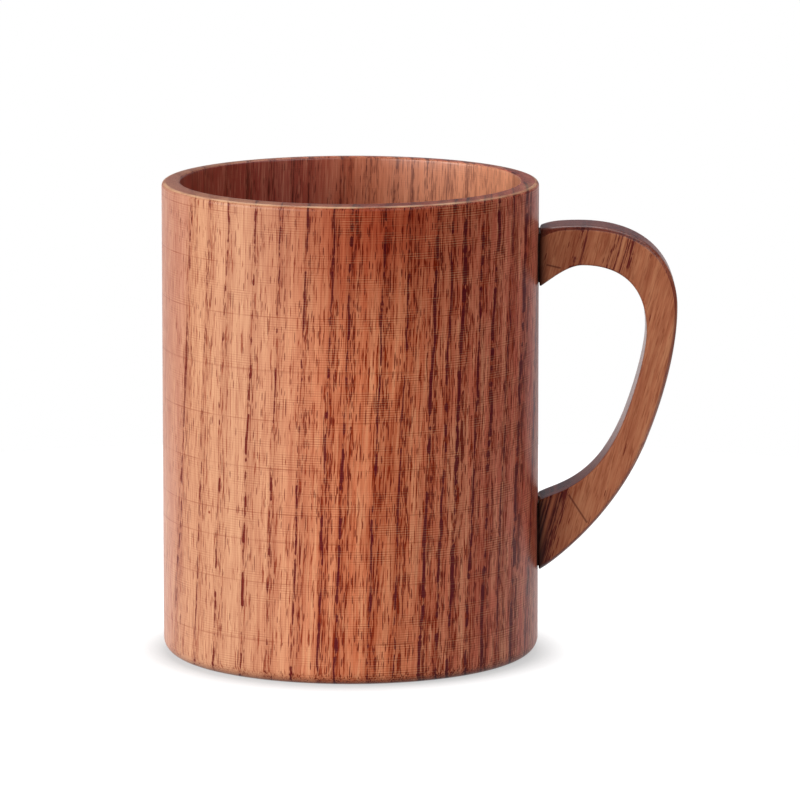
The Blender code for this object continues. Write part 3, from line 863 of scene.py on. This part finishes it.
def place_softbox(name, azimuth, elevation, distance, width, height, power):
    """Rectangular lamp round the mug; azimuth 0 stands at the camera and 90 at the handle's side."""
    lamp = bpy.data.lights.new(name, "AREA")
    lamp.shape = "RECTANGLE"
    lamp.size = width
    lamp.size_y = height
    lamp.energy = power
    box = bpy.data.objects.new(name, lamp)
    a, e = math.radians(azimuth), math.radians(elevation)
    way = Vector((math.sin(a) * math.cos(e), -math.cos(a) * math.cos(e), math.sin(e)))
    middle = Vector((0.0, 0.0, CUP_HEIGHT / 2))
    box.location = middle + way * distance
    box.rotation_mode = "QUATERNION"
    box.rotation_quaternion = (-way).to_track_quat("-Z", "Y")
    bpy.context.scene.collection.objects.link(box)


# Paper floor: its radius, the reach of the painted contact shadow in its glow close to the mug, and how far
# below the base it lies
FLOOR_RADIUS = 0.25
CONTACT_SHADOW_REACH = 0.008
FLOOR_DROP = 0.02 * MM

# Strength of the room's own light
ROOM_LIGHT = 0.08


def pale_floor():
    """Matt white ground: it takes the mug's shadow, and a share of its white is its own glow, which is dimmed
    close to the mug as a painted contact shadow.
    """
    material, tree = new_material("matt_white_paper")
    path = add(tree, "LightPath")
    seen = add(tree, "Math", {0: path["Is Camera Ray"], 1: path["Is Glossy Ray"]}, operation="MAXIMUM")[0]
    seen = add(tree, "Math", {0: seen, 1: path["Is Transmission Ray"]}, operation="MAXIMUM")[0]
    # Painted contact shadow: the floor's own glow dims where the mug is close by
    painted_contact_shadow = add(tree, "AmbientOcclusion", {"Distance": CONTACT_SHADOW_REACH}, samples=16)["AO"]
    glow = {"Value": painted_contact_shadow, "From Min": 0.5, "From Max": 1.0, "To Min": 0.5, "To Max": 0.86}
    glow = add(tree, "MapRange", glow)[0]
    lift = add(tree, "Math", {0: seen, 1: glow}, operation="MULTIPLY")[0]
    paper = add(tree, "BsdfDiffuse", {"Color": linear("#959595")})[0]
    own = add(tree, "Emission", {"Color": (1, 1, 1, 1), "Strength": lift})[0]
    both = add(tree, "AddShader", {0: paper, 1: own})[0]
    add(tree, "OutputMaterial", {"Surface": both})
    shape = bmesh.new()
    bmesh.ops.create_circle(shape, cap_ends=True, segments=96, radius=FLOOR_RADIUS)
    mesh = bpy.data.meshes.new("paper_floor")
    shape.to_mesh(mesh)
    shape.free()
    mesh.materials.append(material)
    floor = bpy.data.objects.new("paper_floor", mesh)
    floor.location.z = -FLOOR_DROP
    bpy.context.scene.collection.objects.link(floor)


def studio_world():
    """White to the eye, with a pale backdrop in reflections behind the mug, and a dim cool room all round."""
    world = bpy.data.worlds.new("studio")
    bpy.context.scene.world = world
    world.use_nodes = True
    tree = world.node_tree
    tree.nodes.clear()
    path = add(tree, "LightPath")
    way = add(tree, "TexCoord")["Generated"]
    way = add(tree, "SeparateXYZ", {"Vector": way})
    behind = add(tree, "MapRange", {"Value": way["Y"], "From Min": 0.6, "From Max": 0.95})[0]
    below = add(tree, "MapRange", {"Value": way["Z"], "From Min": 0.02, "From Max": -0.12, "To Min": 0.18})[0]
    mirrored = {0: path["Is Glossy Ray"], 1: path["Is Transmission Ray"]}
    mirrored = add(tree, "Math", mirrored, operation="MAXIMUM")[0]
    mirrored = add(tree, "Math", {0: mirrored, 1: behind}, operation="MULTIPLY")[0]
    mirrored = add(tree, "Math", {0: mirrored, 1: below}, operation="MULTIPLY")[0]
    white = add(tree, "Math", {0: path["Is Camera Ray"], 1: mirrored}, operation="MAXIMUM")[0]
    tint = add(tree, "Mix", {0: white, 6: linear("#F2F2FF"), 7: linear("#FFFFFF")}, data_type="RGBA")[2]
    strength = add(tree, "MapRange", {"Value": white, "To Min": ROOM_LIGHT, "To Max": 1.0})[0]
    backdrop = add(tree, "Background", {"Color": tint, "Strength": strength})[0]
    add(tree, "OutputWorld", {"Surface": backdrop})


# Lamps: azimuth and elevation in degrees, distance, width and height in metres, and power in watts
place_camera()
place_softbox("key_softbox", -58, 14, 0.9, 1.1, 0.5, 12.5)
place_softbox("low_card", -85, 0, 0.9, 1.7, 0.4, 0.4)
place_softbox("front_fill", 32, 32, 1.1, 0.9, 0.5, 4.9)
place_softbox("side_fill", 115, 60, 0.9, 0.7, 0.5, 2.8)
place_softbox("back_fill", -165, 56, 0.9, 0.7, 0.5, 3.4)
pale_floor()
studio_world()
bpy.context.scene.view_settings.view_transform = "Standard"
